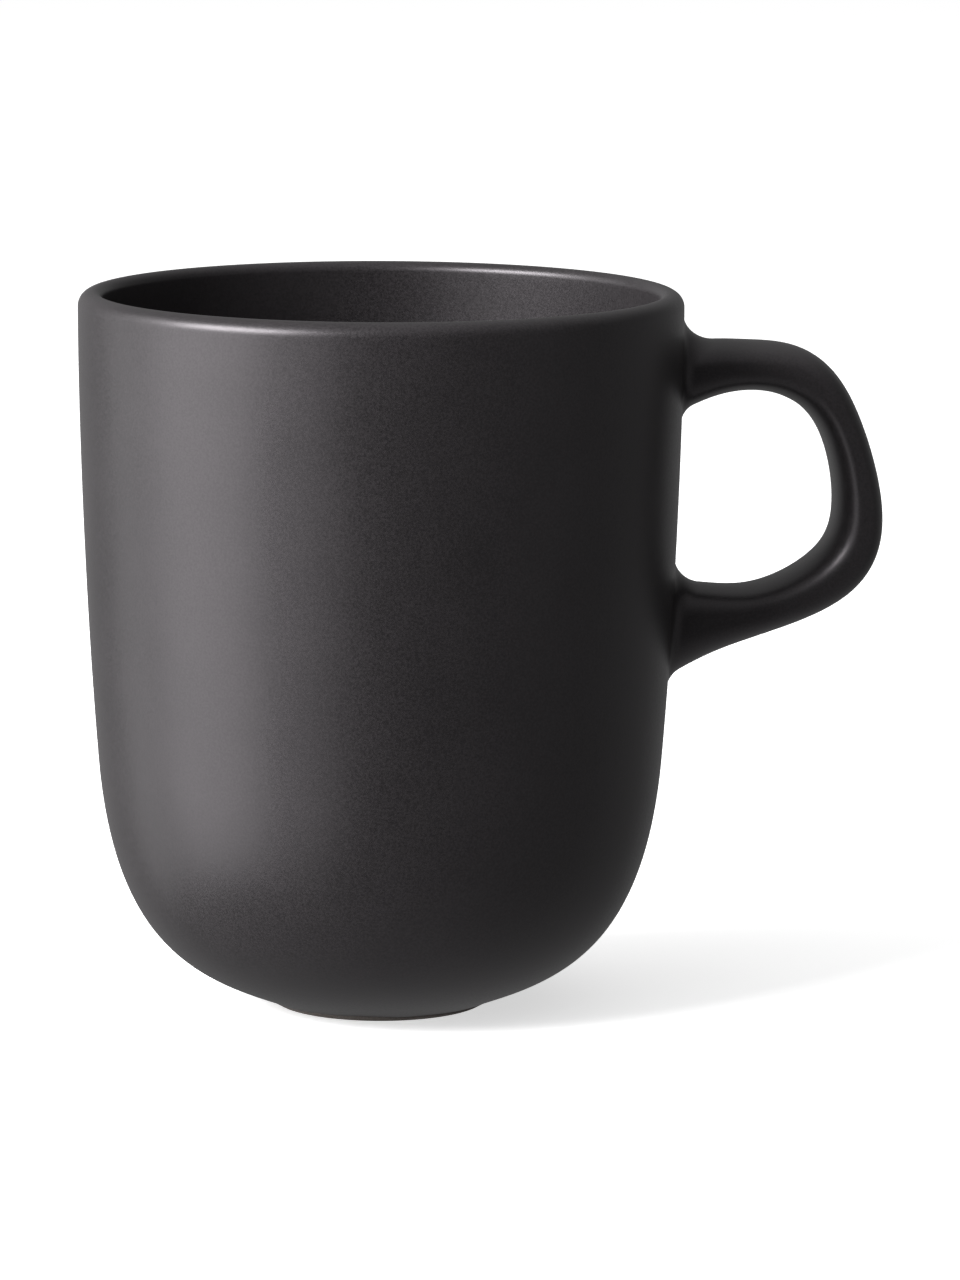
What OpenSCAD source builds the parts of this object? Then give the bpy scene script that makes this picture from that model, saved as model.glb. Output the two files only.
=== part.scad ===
// Large stoneware mug: a turned cup on a low foot ring, a strap handle fixed to its
// wall with two slip joints, and a coat of matte glaze over everything but the foot.
// The mug stands on z = 0 with its own axis on Z. The handle is on +X. Millimetres.

/* [Cup] */
// Height of the mug
cup_h = 103.6; // [100:0.1:107]
// Outer radius at the rim
rim_r = 43.4; // [42.4:0.1:44.4]
// Radius of the lip's outer edge
lip_outer_r = 2.1; // [1.9:0.1:2.4]
// Outer radius where the wall turns into the rounded bottom
belly_r = 40.7; // [39.5:0.1:41.5]
// Height where the wall turns into the rounded bottom
belly_z = 35.8; // [32:0.1:39]
// Wall thickness under the lip, glaze included
rim_wall = 3.5; // [3.4:0.1:3.8]
// Wall thickness at the bottom's edge, glaze included
floor_wall = 5; // [4.4:0.1:5.5]

/* [Foot] */
// Outer radius of the foot, at the glaze line
foot_r = 16.3; // [15.5:0.1:17]
// Height of the glaze line above the table
foot_h = 0.8; // [0.6:0.1:1]
// Radial width of the flat that the mug stands on
foot_land = 2.2; // [1.6:0.1:2.8]
// Depth of the recess inside the foot ring, up to the bare clay
recess_h = 1.8; // [1.4:0.1:2]

/* [Handle] */
// Width of the strap across the mug, glaze included
strap_w = 14; // [13:0.5:16]
// Roundness of the strap's section: 2 is an ellipse, and more is squarer
strap_power = 2.4; // [2.1:0.1:3]
// Fillet radius on top of the upper joint
fillet_top = 5.2; // [4.2:0.1:5.6]
// Fillet radius beside and under each joint
fillet_side = 1.7; // [1.4:0.1:2.2]

/* [Glaze and slip] */
// Thickness of the glaze coat
glaze_t = 0.4; // [0.3:0.05:0.5]
// Thickness of the slip that bonds each end of the handle to the wall
slip_t = 0.8; // [0.6:0.1:1]

/* [Hidden] */

CLAY = "#4a4442";
GLAZE = "#343234";

// Fillet on top of the lower joint, as a share of the upper one's
LOWER_SHARE = 0.85;

// Segments along each span of the wall, round the lip and round the strap
WALL_STEPS = 24;
LIP_STEPS = 6;
SIDES = 28;
// Rings along the strap, on a fillet, on the strap inside a joint, and across an end
STRAP_RINGS = 40;
FILLET_RINGS = 6;
ROOT_RINGS = 3;
END_RINGS = 3;
$fn = 96;

// Lean of the wall from upright, towards the axis going down. At the rim it is upright.
BELLY_LEAN = 4.7;
FOOT_LEAN = 67.6;
// How far each span of the wall keeps to the lean at its own two ends
RIM_PULL = 19;
BELLY_PULL_UP = 18.9;
BELLY_PULL_DOWN = 29;
FOOT_PULL = 9.7;

// The strap's middle line in the plane y = 0, from inside the upper wall round to inside
// the lower wall, as control points of a uniform cubic B-spline: x, z and thickness.
STRAP = [[22, 82, 13], [33.3, 87, 11.6], [44.8, 92.1, 8.9], [53.4, 92.7, 6.4], [61.3, 91.7, 8.1], [67.2, 84.6, 5.2],
    [70.5, 70.1, 7], [67.3, 61.7, 8.4], [54.9, 56.3, 6], [45, 55.7, 11.3], [30.9, 51.9, 19.8], [17, 47.5, 22]];
STRAP_END = len(STRAP) - 3;

// ---- the cup's outline ----------------------------------------------------------

function bezier(p, t) =
    pow(1 - t, 3) * p[0] + 3 * pow(1 - t, 2) * t * p[1] + 3 * (1 - t) * t * t * p[2] + pow(t, 3) * p[3];

function bezier_slope(p, t) =
    pow(1 - t, 2) * (p[1] - p[0]) + 2 * (1 - t) * t * (p[2] - p[1]) + t * t * (p[3] - p[2]);

function unit(v) = v / norm(v);

// Direction of travel down a wall that leans in by this many degrees
function downhill(lean) = [-sin(lean), -cos(lean)];

// The lip is rounded off to this radius inside
lip_inner_r = rim_wall - lip_outer_r;
lip_mid = [rim_r - lip_outer_r, cup_h - lip_outer_r];
wall_top = [rim_r, lip_mid[1]];
belly = [belly_r, belly_z];
glaze_line = [foot_r, foot_h];
UPPER_SPAN = [wall_top, wall_top + RIM_PULL * downhill(0),
    belly - BELLY_PULL_UP * downhill(BELLY_LEAN), belly];
LOWER_SPAN = [belly, belly + BELLY_PULL_DOWN * downhill(BELLY_LEAN),
    glaze_line - FOOT_PULL * downhill(FOOT_LEAN), glaze_line];

// Point on the wall at a depth under its outer surface: s is 0 at the lip, 1 at the belly, 2 at the foot
function wall_point(s, depth) =
    let (span = s < 1 ? UPPER_SPAN : LOWER_SPAN,
        t = s < 1 ? s : s - 1,
        dir = unit(bezier_slope(span, t)))
    bezier(span, t) + depth * [dir[1], -dir[0]];

// The outer surface, or the clay under its glaze, from the lip down to the foot
function outer_line(depth) = [for (i = [0 : 2 * WALL_STEPS]) wall_point(i / WALL_STEPS, depth)];

// The inner surface, or the clay under its glaze, from the lip down to the middle of the floor
function inner_line(depth) = concat(
    [for (i = [0 : 2 * WALL_STEPS])
        let (s = i / WALL_STEPS)
        wall_point(s, rim_wall + (floor_wall - rim_wall) * pow(s / 2, 2) - depth)],
    [[0, floor_z - depth]]);
floor_z = wall_point(2, floor_wall)[1];

// The lip, from its inner side over the top to its outer side
function lip_inside(depth) =
    [for (i = [0 : LIP_STEPS])
        let (a = 180 - i * 90 / LIP_STEPS)
        [lip_mid[0], cup_h - lip_inner_r] + (lip_inner_r - depth) * [cos(a), sin(a)]];
function lip_outside(depth) =
    [for (i = [0 : LIP_STEPS])
        let (a = 90 - i * 90 / LIP_STEPS)
        lip_mid + (lip_outer_r - depth) * [cos(a), sin(a)]];

function reverse(list) = [for (i = [len(list) - 1 : -1 : 0]) list[i]];

module turned(outline) {
    rotate_extrude() polygon(outline);
}

// ---- the handle -----------------------------------------------------------------

// Radius of the outer surface, or of the clay under its glaze, at a height
function wall_table(depth) = [for (p = outer_line(depth)) [p[1], p[0]]];
GLAZE_TABLE = wall_table(0);
CLAY_TABLE = wall_table(glaze_t);
function wall_r(z, depth) = lookup(z, depth == 0 ? GLAZE_TABLE : CLAY_TABLE);

// The x of the wall straight behind a point, and that point's gap from it
function wall_x(y, z, depth) = sqrt(pow(wall_r(z, depth), 2) - y * y);
function wall_gap(p, depth) = p[0] - wall_x(p[1], p[2], depth);

function spline_weights(u) =
    [pow(1 - u, 3), 3 * u * u * u - 6 * u * u + 4, 1 + 3 * u + 3 * u * u - 3 * u * u * u, u * u * u] / 6;
function slope_weights(u) =
    [-pow(1 - u, 2), 3 * u * u - 4 * u, 1 + 2 * u - 3 * u * u, u * u] / 2;
function spline_mix(w, i) = w[0] * STRAP[i] + w[1] * STRAP[i + 1] + w[2] * STRAP[i + 2] + w[3] * STRAP[i + 3];

function signed_power(v, e) = sign(v) * pow(abs(v), e);

// Point on the strap: t runs along it from 0 to STRAP_END, and a runs round it from its outer side
function strap_point(t, a, depth) =
    let (i = min(floor(t), STRAP_END - 1),
        mid = spline_mix(spline_weights(t - i), i),
        dir = spline_mix(slope_weights(t - i), i),
        up = unit([-dir[1], dir[0]]),
        h = (mid[2] / 2 - depth) * signed_power(cos(a), 2 / strap_power))
    [mid[0] + h * up[0], (strap_w / 2 - depth) * signed_power(sin(a), 2 / strap_power), mid[1] + h * up[1]];

// Which way the strap's outer side faces at a joint: up at the upper one and down at the lower
function outer_way(root) = root == 0 ? 1 : -1;

// Direction, seen along X, in which the strap's surface faces near a joint
function strap_facing(a, root) =
    let (e = 2 - 2 / strap_power, thick = STRAP[root == 0 ? 2 : len(STRAP) - 3][2])
    unit([signed_power(sin(a), e) / strap_w, outer_way(root) * signed_power(cos(a), e) / thick]);

// The place along the strap where its gap from the wall is u, by halving between a place
// inside the wall and one outside it
function strap_place(a, u, depth, inside, outside, steps = 18) =
    let (mid = (inside + outside) / 2)
    steps == 0 ? mid
        : wall_gap(strap_point(mid, a, depth), depth) < u
            ? strap_place(a, u, depth, mid, outside, steps - 1)
            : strap_place(a, u, depth, inside, mid, steps - 1);

// Root 0 is the upper joint and root 1 the lower one
function root_place(a, u, depth, root) =
    root == 0 ? strap_place(a, u, depth, 0, 2) : strap_place(a, u, depth, STRAP_END, STRAP_END - 2);

// Fillet radius round a joint: large on top and small elsewhere
function fillet_r(a, root, depth) =
    let (top = root == 0 ? fillet_top : LOWER_SHARE * fillet_top, crest = max(0, outer_way(root) * cos(a)))
    depth + fillet_side + (top - fillet_side) * pow(crest, 2);

function angle_of(j) = j * 360 / SIDES;

// Ring on the strap at a gap from the wall
function gap_ring(root, depth, k) =
    [for (j = [0 : SIDES - 1])
        let (a = angle_of(j), r = fillet_r(a, root, depth), u = slip_t + (r - slip_t) * k)
        strap_point(root_place(a, u, depth, root), a, depth)];

// Ring on a fillet: k is 0 on the wall and 1 where the fillet meets the strap
function fillet_ring(root, depth, k) =
    [for (j = [0 : SIDES - 1])
        let (a = angle_of(j), r = fillet_r(a, root, depth),
            u = r * (1 - cos(90 * k)),
            p = strap_point(root_place(a, u, depth, root), a, depth),
            q = [p[1], p[2]] + r * (1 - sin(90 * k)) * strap_facing(a, root))
        [wall_x(q[0], q[1], depth) + u, q[0], q[1]]];

// Ring on the free stretch of the strap, between the two fillets
function strap_ring(depth, k) =
    [for (j = [0 : SIDES - 1])
        let (a = angle_of(j),
            start = root_place(a, fillet_r(a, 0, depth), depth, 0),
            finish = root_place(a, fillet_r(a, 1, depth), depth, 1))
        strap_point(start + (finish - start) * k, a, depth)];

function ring_middle(ring) = [for (c = [0 : 2]) max([for (p = ring) p[c]]) + min([for (p = ring) p[c]])] / 2;

// A ring drawn in towards its middle, kept at the same gap from the clay wall
function shrunk_ring(ring, k, gap) =
    let (mid = ring_middle(ring))
    [for (p = ring)
        let (y = mid[1] + (p[1] - mid[1]) * k, z = mid[2] + (p[2] - mid[2]) * k)
        [wall_x(y, z, glaze_t) + gap, y, z]];

// The face of a joint that follows the wall, as rings from its middle out to its edge
function end_rings(ring, gap) = [for (i = [0 : END_RINGS]) shrunk_ring(ring, i / (END_RINGS + 1), gap)];

function joint_outside(root, depth) = [for (i = [0 : FILLET_RINGS]) fillet_ring(root, depth, i / FILLET_RINGS)];
function joint_inside(root) = [for (i = [0 : ROOT_RINGS]) gap_ring(root, glaze_t, i / ROOT_RINGS)];
function strap_rings(depth) = [for (i = [1 : STRAP_RINGS - 1]) strap_ring(depth, i / STRAP_RINGS)];

// Skin between neighbouring rings. It closes on itself if the last ring joins the first.
module skin(rings, closed = false) {
    count = len(rings);
    polyhedron(
        [for (ring = rings) each ring],
        [for (i = [0 : count - (closed ? 1 : 2)], j = [0 : SIDES - 1])
            let (here = i * SIDES, next = ((i + 1) % count) * SIDES, k = (j + 1) % SIDES)
            each [[here + j, next + k, next + j], [here + j, here + k, next + k]]]);
}

module slip_joint(root) {
    outside = joint_outside(root, glaze_t);
    inside = reverse(joint_inside(root));
    rings = concat(end_rings(outside[0], 0), outside, inside, reverse(end_rings(inside[ROOT_RINGS], slip_t)));
    skin(root == 0 ? rings : reverse(rings));
}

// Hole through the glaze where a joint stands on the bare clay
module joint_hole(root) {
    outline = fillet_ring(root, glaze_t, 0);
    rotate([90, 0, 90]) linear_extrude(rim_r * 2) polygon([for (p = outline) [p[1], p[2]]]);
}

// ---- the pieces -----------------------------------------------------------------

// Turned stoneware cup, with its foot ring
module cup_body() {
    land_r = foot_r - 2 * foot_h * 0.6;
    clay_line = outer_line(glaze_t);
    edge = clay_line[len(clay_line) - 1];
    color(CLAY) turned(concat(
        reverse(inner_line(glaze_t)),
        lip_inside(glaze_t),
        lip_outside(glaze_t),
        clay_line,
        [[edge[0] - 0.2, foot_h * 0.6], [land_r, 0], [land_r - foot_land, 0],
            [land_r - foot_land - 0.5, recess_h], [0, recess_h]]));
}

// Strap handle, coped at both ends to the curve of the wall
module handle() {
    upper = joint_inside(0);
    lower = reverse(joint_inside(1));
    color(CLAY) skin(concat(
        end_rings(upper[0], slip_t),
        upper,
        strap_rings(glaze_t),
        lower,
        reverse(end_rings(lower[ROOT_RINGS], slip_t))));
}

// Slip that bonds the upper end of the handle, smoothed into a fillet round it
module upper_handle_joint() {
    color(CLAY) slip_joint(0);
}

// Slip that bonds the lower end of the handle, smoothed into a fillet round it
module lower_handle_joint() {
    color(CLAY) slip_joint(1);
}

// Glaze inside the cup, from the middle of the lip down
module inner_glaze() {
    color(GLAZE) turned(concat(
        reverse(inner_line(0)),
        lip_inside(0),
        reverse(lip_inside(glaze_t)),
        inner_line(glaze_t)));
}

// Glaze outside the cup, from the middle of the lip down to the foot
module outer_glaze() {
    color(GLAZE) difference() {
        turned(concat(
            lip_outside(0),
            outer_line(0),
            reverse(outer_line(glaze_t)),
            reverse(lip_outside(glaze_t))));
        joint_hole(0);
        joint_hole(1);
    }
}

// Glaze over the handle and its two joints
module handle_glaze() {
    color(GLAZE) skin(concat(
        joint_outside(0, 0), strap_rings(0), reverse(joint_outside(1, 0)),
        joint_outside(1, glaze_t), reverse(strap_rings(glaze_t)), reverse(joint_outside(0, glaze_t))), true);
}

// Glaze in the recess inside the foot ring
module base_glaze() {
    color(GLAZE) translate([0, 0, recess_h - glaze_t])
        cylinder(h = glaze_t, r = foot_r - 2 * foot_h * 0.6 - foot_land - 0.5);
}

cup_body();
handle();
upper_handle_joint();
lower_handle_joint();
inner_glaze();
outer_glaze();
handle_glaze();
base_glaze();
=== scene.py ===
import math

import bpy
import numpy as np
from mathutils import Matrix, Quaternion, Vector


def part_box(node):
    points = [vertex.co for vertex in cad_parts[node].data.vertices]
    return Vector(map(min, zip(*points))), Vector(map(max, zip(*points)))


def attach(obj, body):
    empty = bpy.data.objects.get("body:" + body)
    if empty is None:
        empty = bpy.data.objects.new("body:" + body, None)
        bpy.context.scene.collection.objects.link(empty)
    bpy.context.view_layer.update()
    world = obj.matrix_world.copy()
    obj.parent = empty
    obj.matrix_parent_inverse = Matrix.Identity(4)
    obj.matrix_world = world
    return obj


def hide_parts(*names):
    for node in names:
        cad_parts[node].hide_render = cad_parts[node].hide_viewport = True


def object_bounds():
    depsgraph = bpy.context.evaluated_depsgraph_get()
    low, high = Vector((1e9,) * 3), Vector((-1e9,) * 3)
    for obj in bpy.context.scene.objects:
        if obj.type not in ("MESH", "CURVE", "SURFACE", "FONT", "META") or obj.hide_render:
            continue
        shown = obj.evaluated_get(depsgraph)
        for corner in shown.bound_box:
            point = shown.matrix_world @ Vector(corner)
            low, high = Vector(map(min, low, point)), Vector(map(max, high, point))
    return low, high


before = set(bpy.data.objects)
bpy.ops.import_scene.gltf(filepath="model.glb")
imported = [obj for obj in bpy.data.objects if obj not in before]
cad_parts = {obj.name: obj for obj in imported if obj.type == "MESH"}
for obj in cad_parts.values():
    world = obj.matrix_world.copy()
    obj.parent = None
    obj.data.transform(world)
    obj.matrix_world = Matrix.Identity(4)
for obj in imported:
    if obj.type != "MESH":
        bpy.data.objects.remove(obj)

CAD_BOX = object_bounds()
MM = 0.001

# ---- driving sizes, in millimetres, the same as the CAD part's -------------------

CUP_H = CAD_BOX[1].z / MM
RIM_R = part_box("outer_glaze")[1].y / MM
LIP_OUTER_R = 2.1
RIM_WALL = 3.5
LIP_INNER_R = RIM_WALL - LIP_OUTER_R
BELLY = np.array([40.7, 35.8])
FLOOR_WALL = 5.0
FOOT_R = 16.3
FOOT_H = 0.8
FOOT_LAND = 2.2
RECESS_H = 1.8
GLAZE_T = 0.4

# The foot's small details: its chamfer under the glaze, twice as wide as high, the rounding of
# its edges, the lean of the recess's side, and the gap round the glaze in the recess
CHAMFER = 0.6 * FOOT_H
CHAMFER_STEP = 0.2
FOOT_ROUND = 0.35
RECESS_LEAN = 0.5
BASE_GAP = 0.05
# The glaze in the recess: its rounded edge, how far it creeps up there, and its sag
BASE_EDGE, BASE_RISE, BASE_CREEP, BASE_SAG = 0.25, 0.06, 0.10, 0.04
# The wiped glaze line: its rise and fall, and the height over which that fades out
WIPE_RISE, WIPE_REACH = 0.12, 1.5

# Lean of the wall from upright at the ends of its two spans, and how far it keeps to it
BELLY_LEAN, FOOT_LEAN = math.radians(4.7), math.radians(67.6)
RIM_PULL, BELLY_PULL_UP, BELLY_PULL_DOWN, FOOT_PULL = 19.0, 18.9, 29.0, 9.7

STRAP_W = 14.0
STRAP_POWER = 2.4
FILLET_TOP = 5.2
FILLET_SIDE = 1.7
LOWER_SHARE = 0.85  # the lower joint's top fillet, as a share of the upper one's
# Control points of the strap's middle line, a uniform cubic B-spline: x, z and thickness
STRAP = np.array([
    [22.0, 82.0, 13.0], [33.3, 87.0, 11.6], [44.8, 92.1, 8.9], [53.4, 92.7, 6.4], [61.3, 91.7, 8.1],
    [67.2, 84.6, 5.2], [70.5, 70.1, 7.0], [67.3, 61.7, 8.4], [54.9, 56.3, 6.0], [45.0, 55.7, 11.3],
    [30.9, 51.9, 19.8], [17.0, 47.5, 22.0]])
STRAP_END = len(STRAP) - 3

# How finely the visible meshes are cut
TURN_STEPS = 192
WALL_STEPS = 90
LIP_STEPS = 18
SIDES = 96
STRAP_RINGS = 170
FILLET_RINGS = 16


# ---- the cup's outline -----------------------------------------------------------

def unit(v):
    return v / np.linalg.norm(v, axis=-1, keepdims=True)


def downhill(lean):
    return np.array([-math.sin(lean), -math.cos(lean)])


def bezier(p, t):
    t = np.asarray(t)[..., None]
    return ((1 - t) ** 3 * p[0] + 3 * (1 - t) ** 2 * t * p[1]
            + 3 * (1 - t) * t * t * p[2] + t ** 3 * p[3])


def bezier_slope(p, t):
    t = np.asarray(t)[..., None]
    return (1 - t) ** 2 * (p[1] - p[0]) + 2 * (1 - t) * t * (p[2] - p[1]) + t * t * (p[3] - p[2])


LIP_MID = np.array([RIM_R - LIP_OUTER_R, CUP_H - LIP_OUTER_R])
WALL_TOP = np.array([RIM_R, LIP_MID[1]])
GLAZE_LINE = np.array([FOOT_R, FOOT_H])
UPPER_SPAN = [WALL_TOP, WALL_TOP + RIM_PULL * downhill(0),
              BELLY - BELLY_PULL_UP * downhill(BELLY_LEAN), BELLY]
LOWER_SPAN = [BELLY, BELLY + BELLY_PULL_DOWN * downhill(BELLY_LEAN),
              GLAZE_LINE - FOOT_PULL * downhill(FOOT_LEAN), GLAZE_LINE]
SPAN_STEPS = np.linspace(0, 2, 2 * WALL_STEPS + 1)


def wall_points(s, depth):
    """Points at a depth under the outer surface.
    s is 0 at the lip, 1 at the belly and 2 at the foot."""
    upper = s < 1
    t = np.where(upper, s, s - 1)
    on = np.where(upper[:, None], bezier(UPPER_SPAN, t), bezier(LOWER_SPAN, t))
    way = unit(np.where(upper[:, None], bezier_slope(UPPER_SPAN, t), bezier_slope(LOWER_SPAN, t)))
    return on + np.asarray(depth).reshape(-1, 1) * np.stack([way[:, 1], -way[:, 0]], -1)


def outer_line(depth):
    return wall_points(SPAN_STEPS, depth)


def inner_line(depth):
    """The inside from the lip down, ending with the floor, which runs flat to the middle."""
    wall = RIM_WALL + (FLOOR_WALL - RIM_WALL) * (SPAN_STEPS / 2) ** 2
    side = wall_points(SPAN_STEPS, wall - depth)
    floor_z = wall_points(np.array([2.0]), FLOOR_WALL)[0, 1] - depth
    reach = np.linspace(1, 0, 24)[1:, None]
    start, way = side[-1], unit(side[-1] - side[-2])
    middle = np.array([0.0, floor_z])
    bend = [start, start + way * start[0] / 3, middle + np.array([start[0] / 2, 0]), middle]
    return np.concatenate([side, bezier(bend, 1 - reach[:, 0])])


def arc(middle, r, start, finish, steps):
    a = np.radians(np.linspace(start, finish, steps + 1))
    return np.asarray(middle) + r * np.stack([np.cos(a), np.sin(a)], -1)


def lip_inside(depth):
    return arc([LIP_MID[0], CUP_H - LIP_INNER_R], LIP_INNER_R - depth, 180, 90, LIP_STEPS)


def lip_outside(depth):
    return arc(LIP_MID, LIP_OUTER_R - depth, 90, 0, LIP_STEPS)


# ---- meshes ----------------------------------------------------------------------

SHARP = math.radians(50)


def new_piece(name, points, faces, slot, *nodes):
    mesh = bpy.data.meshes.new(name)
    mesh.from_pydata((np.asarray(points) * MM).tolist(), [], faces)
    mesh.validate()
    mesh.shade_smooth()
    mesh.set_sharp_from_angle(angle=SHARP)
    piece = bpy.data.objects.new(name, mesh)
    bpy.context.scene.collection.objects.link(piece)
    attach(piece, "root")
    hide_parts(*nodes)
    return piece


def quads(rows, columns, closed_rows):
    """Faces of a grid whose columns close on themselves, and whose rows may."""
    faces = []
    for i in range(rows if closed_rows else rows - 1):
        here, there = i * columns, (i + 1) % rows * columns
        for j in range(columns):
            k = (j + 1) % columns
            faces.append((here + j, here + k, there + k, there + j))
    return faces


def turned(name, outline, slot, *nodes, lift=None):
    """Turns an outline of radius and height. Runs of it on the axis become one point each.
    lift gives each point's rise for each angle, for a line that isn't quite level."""
    angles = np.arange(TURN_STEPS) * 2 * math.pi / TURN_STEPS
    on_axis = outline[:, 0] < 1e-6
    points, rows = [], []
    for i, (r, z) in enumerate(outline):
        if on_axis[i]:
            rows.append([len(points)] * TURN_STEPS)
            points.append((0.0, 0.0, z))
            continue
        rise = lift[i] * wipe_wave(angles) if lift is not None else np.zeros(TURN_STEPS)
        rows.append(list(range(len(points), len(points) + TURN_STEPS)))
        points.extend(zip(r * np.cos(angles), r * np.sin(angles), z + rise))
    faces = []
    for i in range(len(rows)):
        a, b = rows[i], rows[(i + 1) % len(rows)]
        if on_axis[i] and on_axis[(i + 1) % len(rows)]:
            continue
        for j in range(TURN_STEPS):
            k = (j + 1) % TURN_STEPS
            face = [a[j], a[k], b[k], b[j]]
            faces.append([v for n, v in enumerate(face) if v != face[n - 1]])
    return new_piece(name, points, faces, slot, *nodes)


def wipe_wave(angles):
    """The glaze line is wiped by hand, so it rises and falls a little on the way round."""
    return (0.5 * np.sin(3 * angles + 0.6) + 0.3 * np.sin(7 * angles + 2.1)
            + 0.2 * np.sin(12 * angles + 4.0))


# ---- the cup ---------------------------------------------------------------------

def bead(outer_end, inner_end, steps=6):
    """The rounded edge where a coat of glaze ends, from its outer surface to the clay."""
    middle, half = (outer_end + inner_end) / 2, (outer_end - inner_end) / 2
    ahead = np.array([half[1], -half[0]])
    a = np.linspace(0, math.pi, steps + 2)[1:-1, None]
    return middle + half * np.cos(a) + ahead * np.sin(a)


def make_outer_glaze():
    face, back = outer_line(0), outer_line(GLAZE_T)
    outline = np.concatenate([
        lip_outside(0), face[1:], bead(face[-1], back[-1]), back[:0:-1],
        lip_outside(GLAZE_T)[::-1]])
    near_foot = np.clip(1 - (outline[:, 1] - FOOT_H) / WIPE_REACH, 0, 1) ** 2
    return turned("outer_glaze_coat", outline[::-1], "glaze", "outer_glaze",
                  lift=WIPE_RISE * near_foot[::-1])


def make_inner_glaze():
    outline = np.concatenate([
        inner_line(0)[::-1], lip_inside(0), lip_inside(GLAZE_T)[::-1], inner_line(GLAZE_T)])
    return turned("inner_glaze_coat", outline[::-1], "glaze", "inner_glaze")


def land_radius():
    return FOOT_R - 2 * CHAMFER


def recess_radius():
    return land_radius() - FOOT_LAND - RECESS_LEAN


def make_cup_body():
    """The clay cup. Only its foot shows: a ring sanded flat, with softened edges."""
    edge = outer_line(GLAZE_T)[-1]
    land, recess, soft = land_radius(), recess_radius(), FOOT_ROUND
    outline = np.concatenate([
        inner_line(GLAZE_T)[::-1],
        lip_inside(GLAZE_T),
        lip_outside(GLAZE_T)[1:],
        outer_line(GLAZE_T)[1:],
        [[edge[0] - CHAMFER_STEP, CHAMFER]],
        arc([land - soft, soft], soft, -20, -90, 5),
        arc([land - FOOT_LAND + soft, soft], soft, -90, -165, 5),
        arc([recess - soft, RECESS_H - soft], soft, 0, 90, 5),
        [[0, RECESS_H]]])
    return turned("clay_cup", outline[::-1], "clay", "cup_body")


def make_base_glaze():
    """Glaze in the recess: a thin coat that creeps a little down the recess's side."""
    r = recess_radius() - BASE_GAP
    low, high = RECESS_H - GLAZE_T, RECESS_H
    crown = [[x, low + BASE_CREEP * (x / r) ** 6 - BASE_SAG * (x / r) ** 2]
             for x in np.linspace(0, r - BASE_EDGE, 22)]
    outline = np.concatenate([
        crown,
        arc([r - BASE_EDGE, low + BASE_RISE + BASE_EDGE], BASE_EDGE, -90, 0, 5),
        [[r, high], [0, high]]])
    return turned("base_glaze_coat", outline, "glaze", "base_glaze")


# ---- the handle ------------------------------------------------------------------

def wall_radius(z, depth):
    line = outer_line(depth)[::-1]
    return np.interp(z, line[:, 1], line[:, 0])


def wall_x(y, z, depth):
    return np.sqrt(wall_radius(z, depth) ** 2 - y * y)


def signed_power(v, e):
    return np.sign(v) * np.abs(v) ** e


def strap_surface(t, a, depth):
    """Points on the strap: t runs along it, and a runs round it from its outer side."""
    i = np.clip(np.floor(t).astype(int), 0, STRAP_END - 1)
    u = (t - i)[..., None]
    weights = [(1 - u) ** 3 / 6, (3 * u ** 3 - 6 * u * u + 4) / 6,
               (1 + 3 * u + 3 * u * u - 3 * u ** 3) / 6, u ** 3 / 6]
    slopes = [-(1 - u) ** 2 / 2, (3 * u * u - 4 * u) / 2, (1 + 2 * u - 3 * u * u) / 2, u * u / 2]
    mid = sum(w * STRAP[i + k] for k, w in enumerate(weights))
    way = sum(w * STRAP[i + k, :2] for k, w in enumerate(slopes))
    up = unit(np.stack([-way[..., 1], way[..., 0]], -1))
    h = (mid[..., 2] / 2 - depth) * signed_power(np.cos(a), 2 / STRAP_POWER)
    y = (STRAP_W / 2 - depth) * signed_power(np.sin(a), 2 / STRAP_POWER)
    return np.stack([mid[..., 0] + h * up[..., 0], y, mid[..., 1] + h * up[..., 1]], -1)


ANGLES = np.arange(SIDES) * 2 * math.pi / SIDES


def root_place(gap, depth, root):
    """Where along the strap each of its sides stands at a gap from the wall, by halving."""
    inside = np.full(SIDES, 0.0 if root == 0 else float(STRAP_END))
    outside = np.full(SIDES, 2.0 if root == 0 else STRAP_END - 2.0)
    for _ in range(32):
        mid = (inside + outside) / 2
        p = strap_surface(mid, ANGLES, depth)
        short = p[:, 0] - wall_x(p[:, 1], p[:, 2], depth) < gap
        inside, outside = np.where(short, mid, inside), np.where(short, outside, mid)
    return (inside + outside) / 2


def outer_way(root):
    """The strap's outer side faces up at the upper joint and down at the lower one."""
    return 1 if root == 0 else -1


def fillet_radius(depth, root):
    crest = np.clip(outer_way(root) * np.cos(ANGLES), 0, None) ** 2
    top = FILLET_TOP * (1 if root == 0 else LOWER_SHARE)
    return depth + FILLET_SIDE + (top - FILLET_SIDE) * crest


def strap_facing(root):
    e = 2 - 2 / STRAP_POWER
    thick = STRAP[2 if root == 0 else -3, 2]
    return unit(np.stack([signed_power(np.sin(ANGLES), e) / STRAP_W,
                          outer_way(root) * signed_power(np.cos(ANGLES), e) / thick], -1))


SINK = 0.03  # how far the coat's first ring dips under the wall's surface


def fillet_ring(root, depth, k):
    """k is 0 on the wall and 1 where the fillet meets the strap."""
    r = fillet_radius(depth, root)
    gap = r * (1 - math.cos(math.pi / 2 * k))
    p = strap_surface(root_place(gap, depth, root), ANGLES, depth)
    q = p[:, 1:] + (r * (1 - math.sin(math.pi / 2 * k)))[:, None] * strap_facing(root)
    # the first ring dips under the wall's surface, so that the coats meet with no gap
    x = wall_x(q[:, 0], q[:, 1], depth) + gap - (SINK if k == 0 else 0)
    return np.stack([x, q[:, 0], q[:, 1]], -1)


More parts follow.
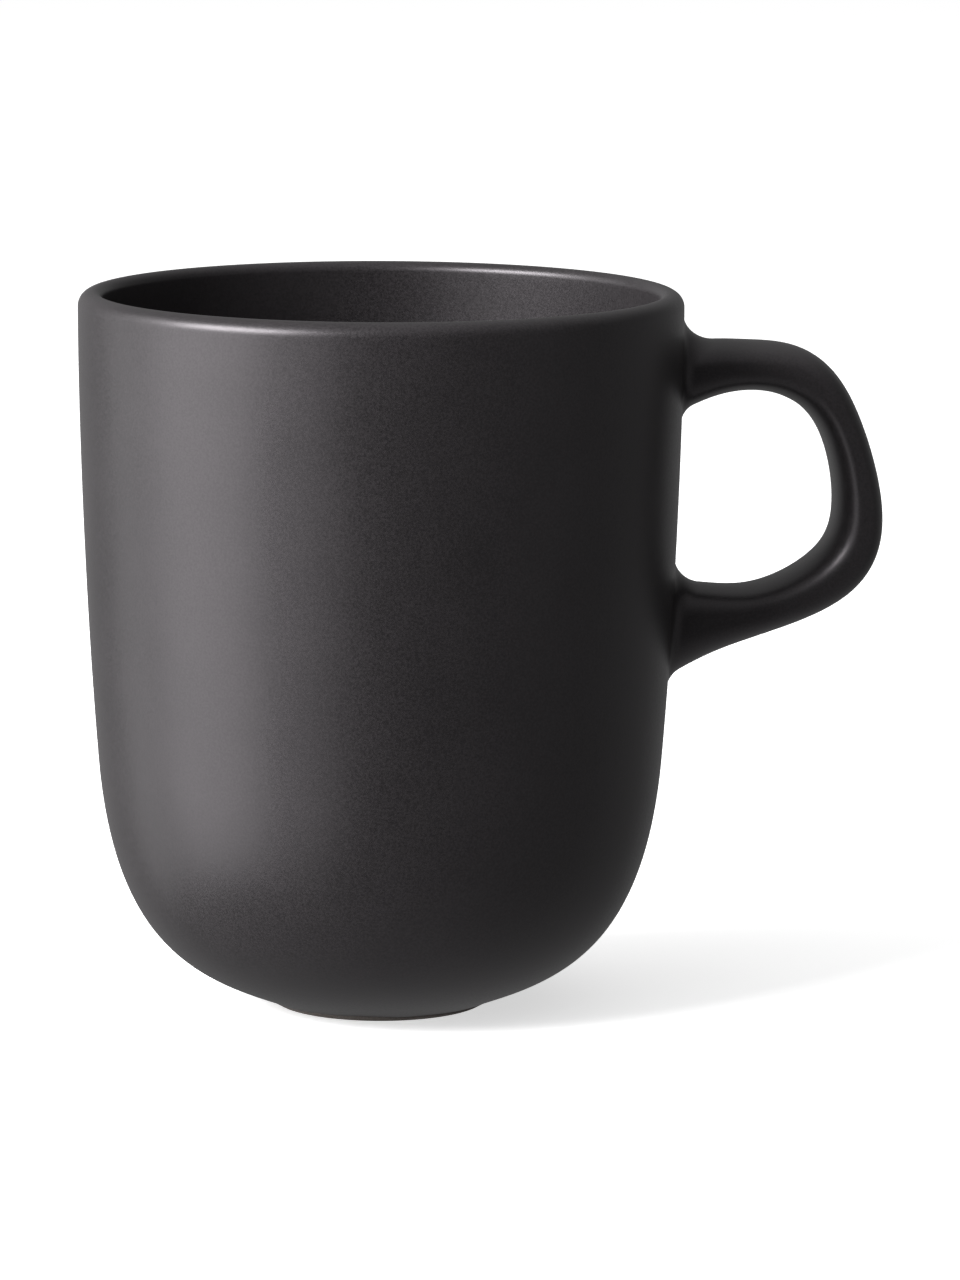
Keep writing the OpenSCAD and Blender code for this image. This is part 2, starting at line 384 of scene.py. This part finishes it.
def handle_rings(depth):
    fillet = np.linspace(0, 1, FILLET_RINGS + 1)
    start = root_place(fillet_radius(depth, 0), depth, 0)
    finish = root_place(fillet_radius(depth, 1), depth, 1)
    free = [strap_surface(start + (finish - start) * k, ANGLES, depth)
            for k in np.linspace(0, 1, STRAP_RINGS + 1)[1:-1]]
    upper = [fillet_ring(0, depth, k) for k in fillet]
    lower = [fillet_ring(1, depth, k) for k in fillet[::-1]]
    return upper + free + lower


def make_handle_glaze():
    rings = handle_rings(GLAZE_T) + handle_rings(0)[::-1]
    return new_piece("handle_glaze_coat", np.concatenate(rings), quads(len(rings), SIDES, True),
                     "glaze", "handle_glaze")


# ---- materials -------------------------------------------------------------------

class Nodes:
    """Small helper that builds a material's node tree."""

    def __init__(self, name):
        self.material = bpy.data.materials.new(name)
        self.material.use_nodes = True
        self.tree = self.material.node_tree
        self.shader = self.tree.nodes["Principled BSDF"]
        self.place = self.new("ShaderNodeTexCoord").outputs["Object"]

    def new(self, kind, **settings):
        node = self.tree.nodes.new(kind)
        for key, value in settings.items():
            setattr(node, key, value)
        return node

    def put(self, socket, value):
        if isinstance(value, bpy.types.NodeSocket):
            self.tree.links.new(value, socket)
        else:
            socket.default_value = value

    def noise(self, size, detail=2.0, roughness=0.5, stretch=None):
        """Noise whose lumps are about this many metres across."""
        node = self.new("ShaderNodeTexNoise")
        place = self.place
        if stretch:
            mapping = self.new("ShaderNodeMapping")
            mapping.inputs["Scale"].default_value = stretch
            self.put(mapping.inputs["Vector"], place)
            place = mapping.outputs["Vector"]
        self.put(node.inputs["Vector"], place)
        node.inputs["Scale"].default_value = 1 / size
        node.inputs["Detail"].default_value = detail
        node.inputs["Roughness"].default_value = roughness
        return node.outputs["Fac"]

    def math(self, operation, a, b=0.0, clamp=False):
        node = self.new("ShaderNodeMath", operation=operation, use_clamp=clamp)
        self.put(node.inputs[0], a)
        self.put(node.inputs[1], b)
        return node.outputs[0]

    def spread(self, value, low, high, to_low=0.0, to_high=1.0):
        node = self.new("ShaderNodeMapRange", interpolation_type="SMOOTHSTEP")
        for name, v in (("Value", value), ("From Min", low), ("From Max", high),
                        ("To Min", to_low), ("To Max", to_high)):
            self.put(node.inputs[name], v)
        return node.outputs["Result"]

    def dots(self, spacing, radius, share):
        """Round dots of this radius in a random few of the cells that far apart."""
        cells = self.new("ShaderNodeTexVoronoi")
        self.put(cells.inputs["Vector"], self.place)
        cells.inputs["Scale"].default_value = 1 / spacing
        pick = self.new("ShaderNodeSeparateColor")
        self.put(pick.inputs["Color"], cells.outputs["Color"])
        chosen = self.math("LESS_THAN", pick.outputs["Red"], share)
        size = self.spread(pick.outputs["Green"], 0, 1, 0.45 * radius / spacing, radius / spacing)
        near = self.spread(cells.outputs["Distance"], 0.0, size, 1.0, 0.0)
        return self.math("MULTIPLY", near, chosen)

    def mix(self, factor, a, b):
        node = self.new("ShaderNodeMix", data_type="RGBA")
        self.put(node.inputs["Factor"], factor)
        self.put(node.inputs[6], a)
        self.put(node.inputs[7], b)
        return node.outputs[2]

    def bump(self, height, distance, before=None):
        node = self.new("ShaderNodeBump")
        node.inputs["Strength"].default_value = 1.0
        node.inputs["Distance"].default_value = distance
        self.put(node.inputs["Height"], height)
        if before is not None:
            self.put(node.inputs["Normal"], before)
        return node.outputs["Normal"]


def glaze_material():
    """Matte charcoal glaze: a fine grain, faint clouding, a few pale specks and a few pinhole pits,
    bumped down and darkened with painted shade.
    """
    n = Nodes("matte_charcoal_glaze")
    grain = n.noise(0.00033, detail=3.0, roughness=0.65)
    cloud = n.noise(0.012, detail=3.0)
    flow = n.noise(0.0035, detail=2.0, stretch=(1, 1, 0.45))
    specks = n.dots(0.0068, 0.00020, 0.34)
    halos = n.dots(0.0068, 0.00045, 0.34)
    pinholes_and_painted_shade = n.dots(0.0083, 0.00026, 0.22)
    blisters = n.dots(0.0105, 0.00055, 0.30)
    tone = n.math("ADD", n.math("MULTIPLY", grain, 0.8), n.math("MULTIPLY", cloud, 0.2))
    colour = n.mix(n.spread(tone, 0.33, 0.67),
                   (0.0088, 0.0080, 0.0085, 1), (0.0182, 0.0164, 0.0175, 1))
    colour = n.mix(halos, colour, (0.0060, 0.0055, 0.0060, 1))
    colour = n.mix(specks, colour, (0.30, 0.29, 0.29, 1))
    # painted shade: the pinhole pits are coloured near black for the shade inside them
    colour = n.mix(pinholes_and_painted_shade, colour, (0.003, 0.003, 0.003, 1))
    n.put(n.shader.inputs["Base Color"], colour)
    rough = n.math("ADD", n.spread(grain, 0.25, 0.75, 0.33, 0.41),
                   n.spread(cloud, 0.3, 0.7, -0.006, 0.006))
    n.put(n.shader.inputs["Roughness"], rough)
    normal = n.bump(flow, 0.000016)
    normal = n.bump(grain, 0.000008, normal)
    normal = n.bump(blisters, 0.000022, normal)
    normal = n.bump(n.math("SUBTRACT", specks, pinholes_and_painted_shade), 0.00003, normal)
    n.put(n.shader.inputs["Normal"], normal)
    n.shader.inputs["Specular IOR Level"].default_value = 0.42
    n.shader.inputs["Specular Tint"].default_value = (1.0, 0.94, 0.99, 1)
    return n.material


TURNING_LINES = 0.00045  # metres from one line to the next on the bare foot


def clay_material():
    """Bare fired stoneware: dry, sandy, with fine turning lines and iron specks."""
    n = Nodes("bare_stoneware")
    sand = n.noise(0.0003, detail=3.0, roughness=0.65)
    cloud = n.noise(0.006, detail=2.0)
    iron = n.dots(0.0021, 0.00022, 0.35)
    split = n.new("ShaderNodeSeparateXYZ")
    n.put(split.inputs["Vector"], n.place)
    squares = [n.math("POWER", split.outputs[name], 2.0) for name in ("X", "Y")]
    radius = n.math("SQRT", n.math("ADD", *squares))
    lines = n.math("SINE", n.math("MULTIPLY", radius, 2 * math.pi / TURNING_LINES))
    tone = n.math("ADD", n.math("MULTIPLY", sand, 0.6), n.math("MULTIPLY", cloud, 0.4))
    colour = n.mix(n.spread(tone, 0.3, 0.7), (0.050, 0.043, 0.039, 1), (0.105, 0.092, 0.084, 1))
    colour = n.mix(iron, colour, (0.022, 0.017, 0.014, 1))
    n.put(n.shader.inputs["Base Color"], colour)
    n.put(n.shader.inputs["Roughness"], n.spread(sand, 0.2, 0.8, 0.78, 0.92))
    normal = n.bump(lines, 0.000004)
    normal = n.bump(sand, 0.00003, normal)
    n.put(n.shader.inputs["Normal"], normal)
    n.shader.inputs["Specular IOR Level"].default_value = 0.3
    return n.material


def floor_material():
    n = Nodes("pale_floor")
    n.put(n.shader.inputs["Base Color"], (0.86, 0.86, 0.86, 1))
    n.put(n.shader.inputs["Roughness"], 0.9)
    n.shader.inputs["Specular IOR Level"].default_value = 0.0
    n.shader.inputs["Emission Color"].default_value = (1, 1, 1, 1)
    n.shader.inputs["Emission Strength"].default_value = 0.6
    return n.material


def dress(piece, material):
    piece.data.materials.clear()
    piece.data.materials.append(material)


def dress_cad_node(node, material):
    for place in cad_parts[node].material_slots:
        place.material = material


# ---- stage, light and camera -----------------------------------------------------

# The camera, in degrees, metres and millimetres of lens, fitted to the mug's outline
VIEW_AZIMUTH = -6.0
VIEW_ELEVATION = 9.31
VIEW_DISTANCE = 0.949
VIEW_CENTRE = Vector((0, 0, 0.05))
VIEW_LENS = 184.8
VIEW_SENSOR = 36.0
VIEW_ROLL = 0.27
AIM_SHIFT = Vector((-0.0003, 0, 0.0009))  # from the middle of the CAD box


def from_view(azimuth, elevation):
    """Unit vector towards a place, with the azimuth counted to the left of the camera's own."""
    a, e = math.radians(VIEW_AZIMUTH - azimuth), math.radians(elevation)
    return Vector((math.sin(a) * math.cos(e), -math.cos(a) * math.cos(e), math.sin(e)))


def make_camera():
    aim = (CAD_BOX[0] + CAD_BOX[1]) / 2 + AIM_SHIFT
    spot = VIEW_CENTRE + from_view(0, VIEW_ELEVATION) * VIEW_DISTANCE
    data = bpy.data.cameras.new("camera")
    data.lens = VIEW_LENS
    data.sensor_width = VIEW_SENSOR
    camera = bpy.data.objects.new("camera", data)
    camera.rotation_mode = "QUATERNION"
    camera.location = spot
    level = (aim - spot).to_track_quat("-Z", "Y")
    camera.rotation_quaternion = level @ Quaternion((0, 0, 1), math.radians(VIEW_ROLL))
    bpy.context.scene.collection.objects.link(camera)
    bpy.context.scene.camera = camera


# A large soft box to the left of the camera, brightest near its top and weaker to each side:
# name, azimuth to the camera's left, half its width, lowest and highest elevation, radiance
SOFT_BOXES = (
    ("soft_box", 70, 22.5, -32, 42, 4.1),
    ("soft_box_bright", 60, 20, 20, 42, 27.0),
    ("soft_box_front", 32.5, 15, -32, 42, 1.4),
    ("soft_box_back", 107.5, 15, -32, 42, 1.45))
LIGHT_CENTRE = Vector((0, 0, 0.06))


def soft_box(name, azimuth, half_width, low, high, radiance):
    """A rectangular soft box a metre from the mug, from one elevation to another."""
    away = from_view(azimuth, (low + high) / 2)
    data = bpy.data.lights.new(name, "AREA")
    data.shape = "RECTANGLE"
    data.size = 2 * math.tan(math.radians(half_width))
    data.size_y = 2 * math.tan(math.radians((high - low) / 2))
    data.energy = radiance * math.pi * data.size * data.size_y
    light = bpy.data.objects.new(name, data)
    light.location = LIGHT_CENTRE + away
    light.rotation_mode = "QUATERNION"
    light.rotation_quaternion = away.to_track_quat("Z", "Y")
    light.visible_camera = False
    bpy.context.scene.collection.objects.link(light)


FLOOR_REACH = 8.0


def make_floor():
    """A white table, left out of the mug's reflections, bounced light and shadows."""
    mesh = bpy.data.meshes.new("floor")
    r = FLOOR_REACH
    mesh.from_pydata([(-r, -r, 0), (r, -r, 0), (r, r, 0), (-r, r, 0)], [], [(0, 1, 2, 3)])
    floor = bpy.data.objects.new("floor", mesh)
    floor.visible_diffuse = False
    floor.visible_glossy = False
    floor.visible_shadow = False
    bpy.context.scene.collection.objects.link(floor)
    dress(floor, floor_material())


# Where the studio's soft light comes from: azimuth to the camera's left, elevation, spread
# and strength
STUDIO = ((0, 90, 73, 0.60), (0, -90, 73, 0.43), (135, 0, 55, 0.25), (180, 0, 55, 0.17),
          (-45, 0, 55, 0.19), (-90, 0, 55, 0.13), (-135, 0, 55, 0.11))
STUDIO_LEAST = 0.02  # light from everywhere
STUDIO_SEEN = 0.95   # what the camera itself sees behind the mug


def make_world():
    """A pale studio to the camera, and to everything else the light of its walls and ceiling."""
    world = bpy.data.worlds.new("studio")
    bpy.context.scene.world = world
    world.use_nodes = True
    tree = world.node_tree
    coords = tree.nodes.new("ShaderNodeTexCoord")
    total = STUDIO_LEAST
    for azimuth, elevation, spread, strength in STUDIO:
        facing = tree.nodes.new("ShaderNodeVectorMath")
        facing.operation = "DOT_PRODUCT"
        tree.links.new(coords.outputs["Generated"], facing.inputs[0])
        facing.inputs[1].default_value = from_view(azimuth, elevation)
        lobe = tree.nodes.new("ShaderNodeMapRange")
        lobe.interpolation_type = "SMOOTHSTEP"
        tree.links.new(facing.outputs["Value"], lobe.inputs["Value"])
        for name, v in (("From Min", math.cos(math.radians(spread))), ("From Max", 1.0),
                        ("To Min", 0.0), ("To Max", strength)):
            lobe.inputs[name].default_value = v
        add = tree.nodes.new("ShaderNodeMath")
        if isinstance(total, float):
            add.inputs[0].default_value = total
        else:
            tree.links.new(total, add.inputs[0])
        tree.links.new(lobe.outputs["Result"], add.inputs[1])
        total = add.outputs[0]
    seen = tree.nodes.new("ShaderNodeLightPath")
    choose = tree.nodes.new("ShaderNodeMix")
    tree.links.new(seen.outputs["Is Camera Ray"], choose.inputs["Factor"])
    tree.links.new(total, choose.inputs[2])
    choose.inputs[3].default_value = STUDIO_SEEN
    tree.nodes["Background"].inputs["Color"].default_value = (1, 1, 1, 1)
    tree.links.new(choose.outputs[0], tree.nodes["Background"].inputs["Strength"])


def main():
    make_camera()
    make_floor()
    make_world()
    for box in SOFT_BOXES:
        soft_box(*box)
    glaze, clay = glaze_material(), clay_material()
    for piece in (make_outer_glaze(), make_inner_glaze(), make_handle_glaze(), make_base_glaze()):
        dress(piece, glaze)
    dress(make_cup_body(), clay)
    for node in ("handle", "upper_handle_joint", "lower_handle_joint"):
        dress_cad_node(node, clay)
    bpy.context.scene.view_settings.view_transform = "Standard"


main()
